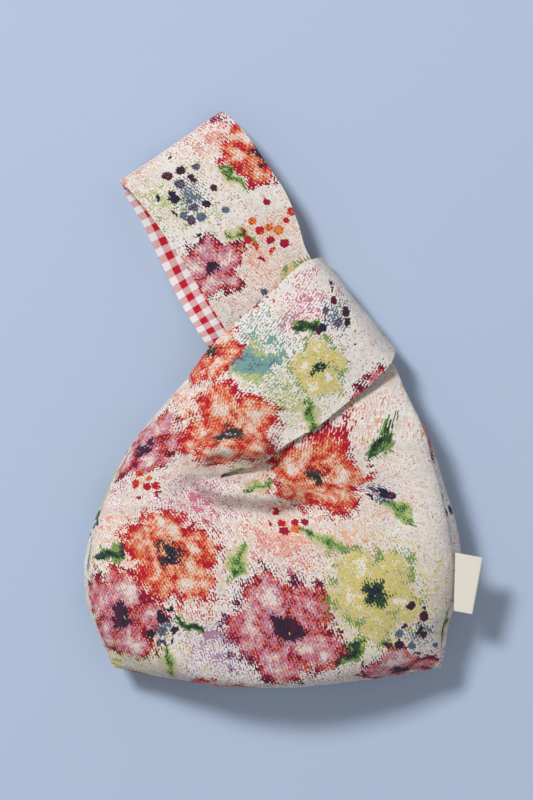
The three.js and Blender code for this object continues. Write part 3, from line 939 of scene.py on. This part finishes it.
def halves(front):
    """The left and the right half of the front panel or of the back one."""
    columns = FRONT_COLUMNS if front else BACK_COLUMNS
    return [Half(side, front, columns) for side in ("left", "right")]


def left_to_right(half, net):
    """A net whose columns run from left to right, whichever half it is."""
    return net if half.side == "left" else net[:, ::-1]


def ripple(points, height):
    """Small uneven waves of the cloth: an offset for each point."""
    chance = np.random.default_rng(RIPPLE["seed"])
    total = np.zeros(points.shape[:-1])
    for _ in range(RIPPLE["waves"]):
        direction = chance.uniform(0, math.tau)
        wavelength = RIPPLE["length"] * chance.uniform(RIPPLE["shortest"], RIPPLE["longest"])
        phase = chance.uniform(0, math.tau)
        along = points[..., 0] * math.cos(direction) + points[..., 1] * math.sin(direction)
        total += np.sin(math.tau * along / wavelength + phase)
    return height * total / math.sqrt(RIPPLE["waves"])


MATERIALS = {}


def material(name):
    """A cloth's material, made the first time that it is asked for."""
    makers = {"jacquard": jacquard_material, "gingham": gingham_material, "ribbon": ribbon_material}
    if name not in MATERIALS:
        MATERIALS[name] = makers[name]()
    return MATERIALS[name]


def build_panel(front):
    """An outer panel: both its halves, sewn along the middle, with gingham on the inside."""
    name = "front_panel" if front else "back_panel"
    parts = []
    for half in halves(front):
        half.lay_flat(FRONT_CUT if front else BACK_CUT)
        net = left_to_right(half, half.points)
        if front:
            net = net + face_normals(net) * ripple(net, settings().waves / MM)[..., None]
        parts.append(laid_grid(f"{name}_{half.side}", net, left_to_right(half, half.flat)))
    panel = joined(name + "_cloth", parts, outward_down=not front)
    panel.data.materials.append(material("jacquard"))
    panel.data.materials.append(material("gingham"))
    thicken(panel, settings().outer)
    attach(panel, BODY)
    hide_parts(name)
    return panel


def build_lining(front):
    """The lining of one half of the long handle, just inside its outer cloth."""
    name = "long_handle_lining_" + ("front" if front else "back")
    half = halves(front)[1]
    half.lay_flat(FRONT_CUT if front else BACK_CUT)
    first = int(np.argmin(abs(half.places - (len(BODY_ROWS) + FIRST_LINED_ROW))))
    net = left_to_right(half, half.points)
    outward = face_normals(net) * (1 if front else -1)
    net = net - outward * (OUTER_CLOTH + APART)
    flat = left_to_right(half, half.flat)
    cloth = laid_grid(name + "_cloth", net[first:], flat[first:])
    lining = joined(name + "_cloth", [cloth], outward_down=not front)
    lining.data.materials.append(material("gingham"))
    thicken(lining, settings().lining)
    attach(lining, BODY)
    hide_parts(name)
    return lining


def build_tag():
    """The folded tag: a ribbon turned back on itself, slanted where the seam holds it."""
    length, reach, cut = RIBBON["length"], RIBBON["reach"], RIBBON["cut"]
    outer = RIBBON["thick"] + RIBBON["inside"] / 2
    turn_steps, along_steps, down_steps = 8, 12, 24
    xs = np.linspace(0, reach - outer, along_steps + 1)
    upper = [(x, outer) for x in xs]
    bend = [
        (reach - outer + outer * math.sin(a), outer * math.cos(a))
        for a in np.linspace(0, math.pi, turn_steps + 2)[1:-1]
    ]
    section = upper + bend + [(x, -outer) for x in xs[::-1]]
    rows = np.linspace(-length / 2, length / 2, down_steps + 1)
    net = np.zeros((len(rows), len(section), 3))
    for j, y in enumerate(rows):
        swallowed = cut * (length / 2 - y) / length
        for k, (x, z) in enumerate(section):
            net[j, k] = (x + swallowed * (1 - x / reach), y, z)
    about_x = np.array(Matrix.Rotation(TAG["tilt"], 3, "X"))
    about_y = np.array(Matrix.Rotation(-TAG["lean"], 3, "Y"))
    about_z = np.array(Matrix.Rotation(TAG["turn"], 3, "Z"))
    placed = net @ (about_x @ about_y @ about_z).T + np.array([TAG["x"], TAG["y"], TAG["z"]])
    flat = net[..., :2]
    tag = joined("side_tag_ribbon", [laid_grid("side_tag_ribbon", placed, flat)], outward_down=False)
    tag.data.materials.append(material("ribbon"))
    thicken(tag, RIBBON["thick"] * MM)
    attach(tag, BODY)
    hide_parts("side_tag")
    return tag


# Stage

# The camera stands straight above; its frame is as high as this many pixels of this many millimetres.
MM_PER_PIXEL = 0.66
PIXELS_HIGH = 800
FRAME_MIDDLE = (-11.2, -2)
CAMERA_HEIGHT = 2.43
FOCUS_HEIGHT = 0.03
SENSOR = 36.0
FLOOR_SIZE = 6
# Just under the bag, so that no face of it lies in the floor's.
FLOOR_HEIGHT = -0.0006
# A large soft light from the upper left, which gives the soft shadow to the lower right, and a
# larger faint one from the other side.
LIGHT_DISTANCE = 4.0
KEY_LIGHT = {"from": (-0.86, 0.9, 1.55), "size": 0.85}
FILL_LIGHT = {"from": (1.4, -0.9, 2.2), "size": 4.6}
FILL_POWER = 24
SKY_STRENGTH = 0.3


def add_light(name, light, power):
    """A square soft light that shines on the bag."""
    way = np.array(light["from"]) / np.linalg.norm(light["from"])
    bpy.ops.object.light_add(type="AREA", location=tuple(way * LIGHT_DISTANCE))
    lamp = bpy.context.object
    lamp.name = name
    lamp.data.shape = "SQUARE"
    lamp.data.size = light["size"]
    lamp.data.energy = power
    lamp.rotation_euler = Vector(-way).to_track_quat("-Z", "Y").to_euler()


def build_stage():
    deselect()
    bpy.ops.mesh.primitive_plane_add(size=FLOOR_SIZE, location=(0, 0, FLOOR_HEIGHT))
    floor = bpy.context.object
    floor.name = "floor"
    floor.data.materials.append(paper_material())
    middle = (FRAME_MIDDLE[0] * MM, FRAME_MIDDLE[1] * MM, CAMERA_HEIGHT)
    bpy.ops.object.camera_add(location=middle, rotation=(0, 0, 0))
    camera = bpy.context.object
    camera.data.sensor_width = SENSOR
    camera.data.lens = SENSOR * (CAMERA_HEIGHT - FOCUS_HEIGHT) / (PIXELS_HIGH * MM_PER_PIXEL * MM)
    camera.data.clip_end = 20
    bpy.context.scene.camera = camera
    add_light("key", KEY_LIGHT, settings().key)
    add_light("fill", FILL_LIGHT, FILL_POWER)
    world = bpy.data.worlds.new("Studio")
    world.use_nodes = True
    world.node_tree.nodes["Background"].inputs["Color"].default_value = linear("#F2F5FA")
    world.node_tree.nodes["Background"].inputs["Strength"].default_value = SKY_STRENGTH
    bpy.context.scene.world = world
    bpy.context.scene.view_settings.view_transform = "Standard"


# Add-on


def size_setting(name, description, default):
    """A size that a user can change, given in millimetres."""
    return bpy.props.FloatProperty(
        name=name, description=description, default=default * MM, min=0, unit="LENGTH", precision=5
    )


def colour_setting(name, description, default):
    """A colour that a user can change, given as an sRGB hex value."""
    return bpy.props.FloatVectorProperty(
        name=name, description=description, default=linear(default), size=4, min=0, max=1, subtype="COLOR"
    )


class KNOTBAG_PG_settings(bpy.types.PropertyGroup):
    """Sizes and colours of the cloth, the ribbon and the stage"""

    outer: size_setting("Outer cloth", "Thickness of the outer cloth", OUTER_CLOTH)
    lining: size_setting("Lining", "Thickness of the lining", LINING_CLOTH)
    waves: size_setting("Waves", "Height of the small waves of the front", 0.35)
    across: size_setting("Float across", "Width of a float of the tapestry weave", 0.8)
    up: size_setting("Float up", "Height of a float of the tapestry weave", 0.86)
    check: size_setting("Check", "Side of a check of the gingham", 5)
    white: colour_setting("White yarn", "Colour of the gingham's white yarn", "#EFE9E8")
    red: colour_setting("Red yarn", "Colour of the gingham's red yarn", "#C2152C")
    tape: colour_setting("Ribbon", "Colour of the tag's ribbon", "#E9E4D6")
    paper: colour_setting("Backdrop", "Colour of the paper that the bag lies on", "#B4C4DB")
    key: bpy.props.FloatProperty(
        name="Key light", description="Power of the key light", default=122, min=0, unit="POWER"
    )


class KNOTBAG_OT_panels(bpy.types.Operator):
    """Make the front and the back panel of tapestry cloth"""

    bl_idname = "knotbag.panels"
    bl_label = "Outer panels"

    def execute(self, context):
        front, back = build_panel(True), build_panel(False)
        return {"FINISHED"}


class KNOTBAG_OT_linings(bpy.types.Operator):
    """Make the lining of the long handle where it shows"""

    bl_idname = "knotbag.linings"
    bl_label = "Handle linings"

    def execute(self, context):
        for front in (True, False):
            lining = build_lining(front)
        return {"FINISHED"}


class KNOTBAG_OT_tag(bpy.types.Operator):
    """Make the folded ribbon tag in the side seam"""

    bl_idname = "knotbag.tag"
    bl_label = "Side tag"

    def execute(self, context):
        tag = build_tag()
        return {"FINISHED"}


class KNOTBAG_OT_stage(bpy.types.Operator):
    """Make the floor, the camera and the studio light"""

    bl_idname = "knotbag.stage"
    bl_label = "Stage"

    def execute(self, context):
        build_stage()
        return {"FINISHED"}


class KNOTBAG_PT_panel(bpy.types.Panel):
    """Lists the steps that make the bag"""

    bl_idname = "KNOTBAG_PT_panel"
    bl_label = "Knot bag"
    bl_space_type = "VIEW_3D"
    bl_region_type = "UI"
    bl_category = "Knot bag"

    def draw(self, context):
        for name in KNOTBAG_PG_settings.__annotations__:
            self.layout.prop(context.scene.knotbag, name)
        for step in STEPS:
            self.layout.operator(step.bl_idname)


STEPS = (KNOTBAG_OT_panels, KNOTBAG_OT_linings, KNOTBAG_OT_tag, KNOTBAG_OT_stage)
CLASSES = (KNOTBAG_PG_settings, *STEPS, KNOTBAG_PT_panel)


def register():
    for cls in CLASSES:
        bpy.utils.register_class(cls)
    bpy.types.Scene.knotbag = bpy.props.PointerProperty(type=KNOTBAG_PG_settings)


def unregister():
    del bpy.types.Scene.knotbag
    for cls in reversed(CLASSES):
        bpy.utils.unregister_class(cls)


def main():
    register()
    bpy.ops.knotbag.panels()
    bpy.ops.knotbag.linings()
    bpy.ops.knotbag.tag()
    bpy.ops.knotbag.stage()


if __name__ == "__main__":
    main()
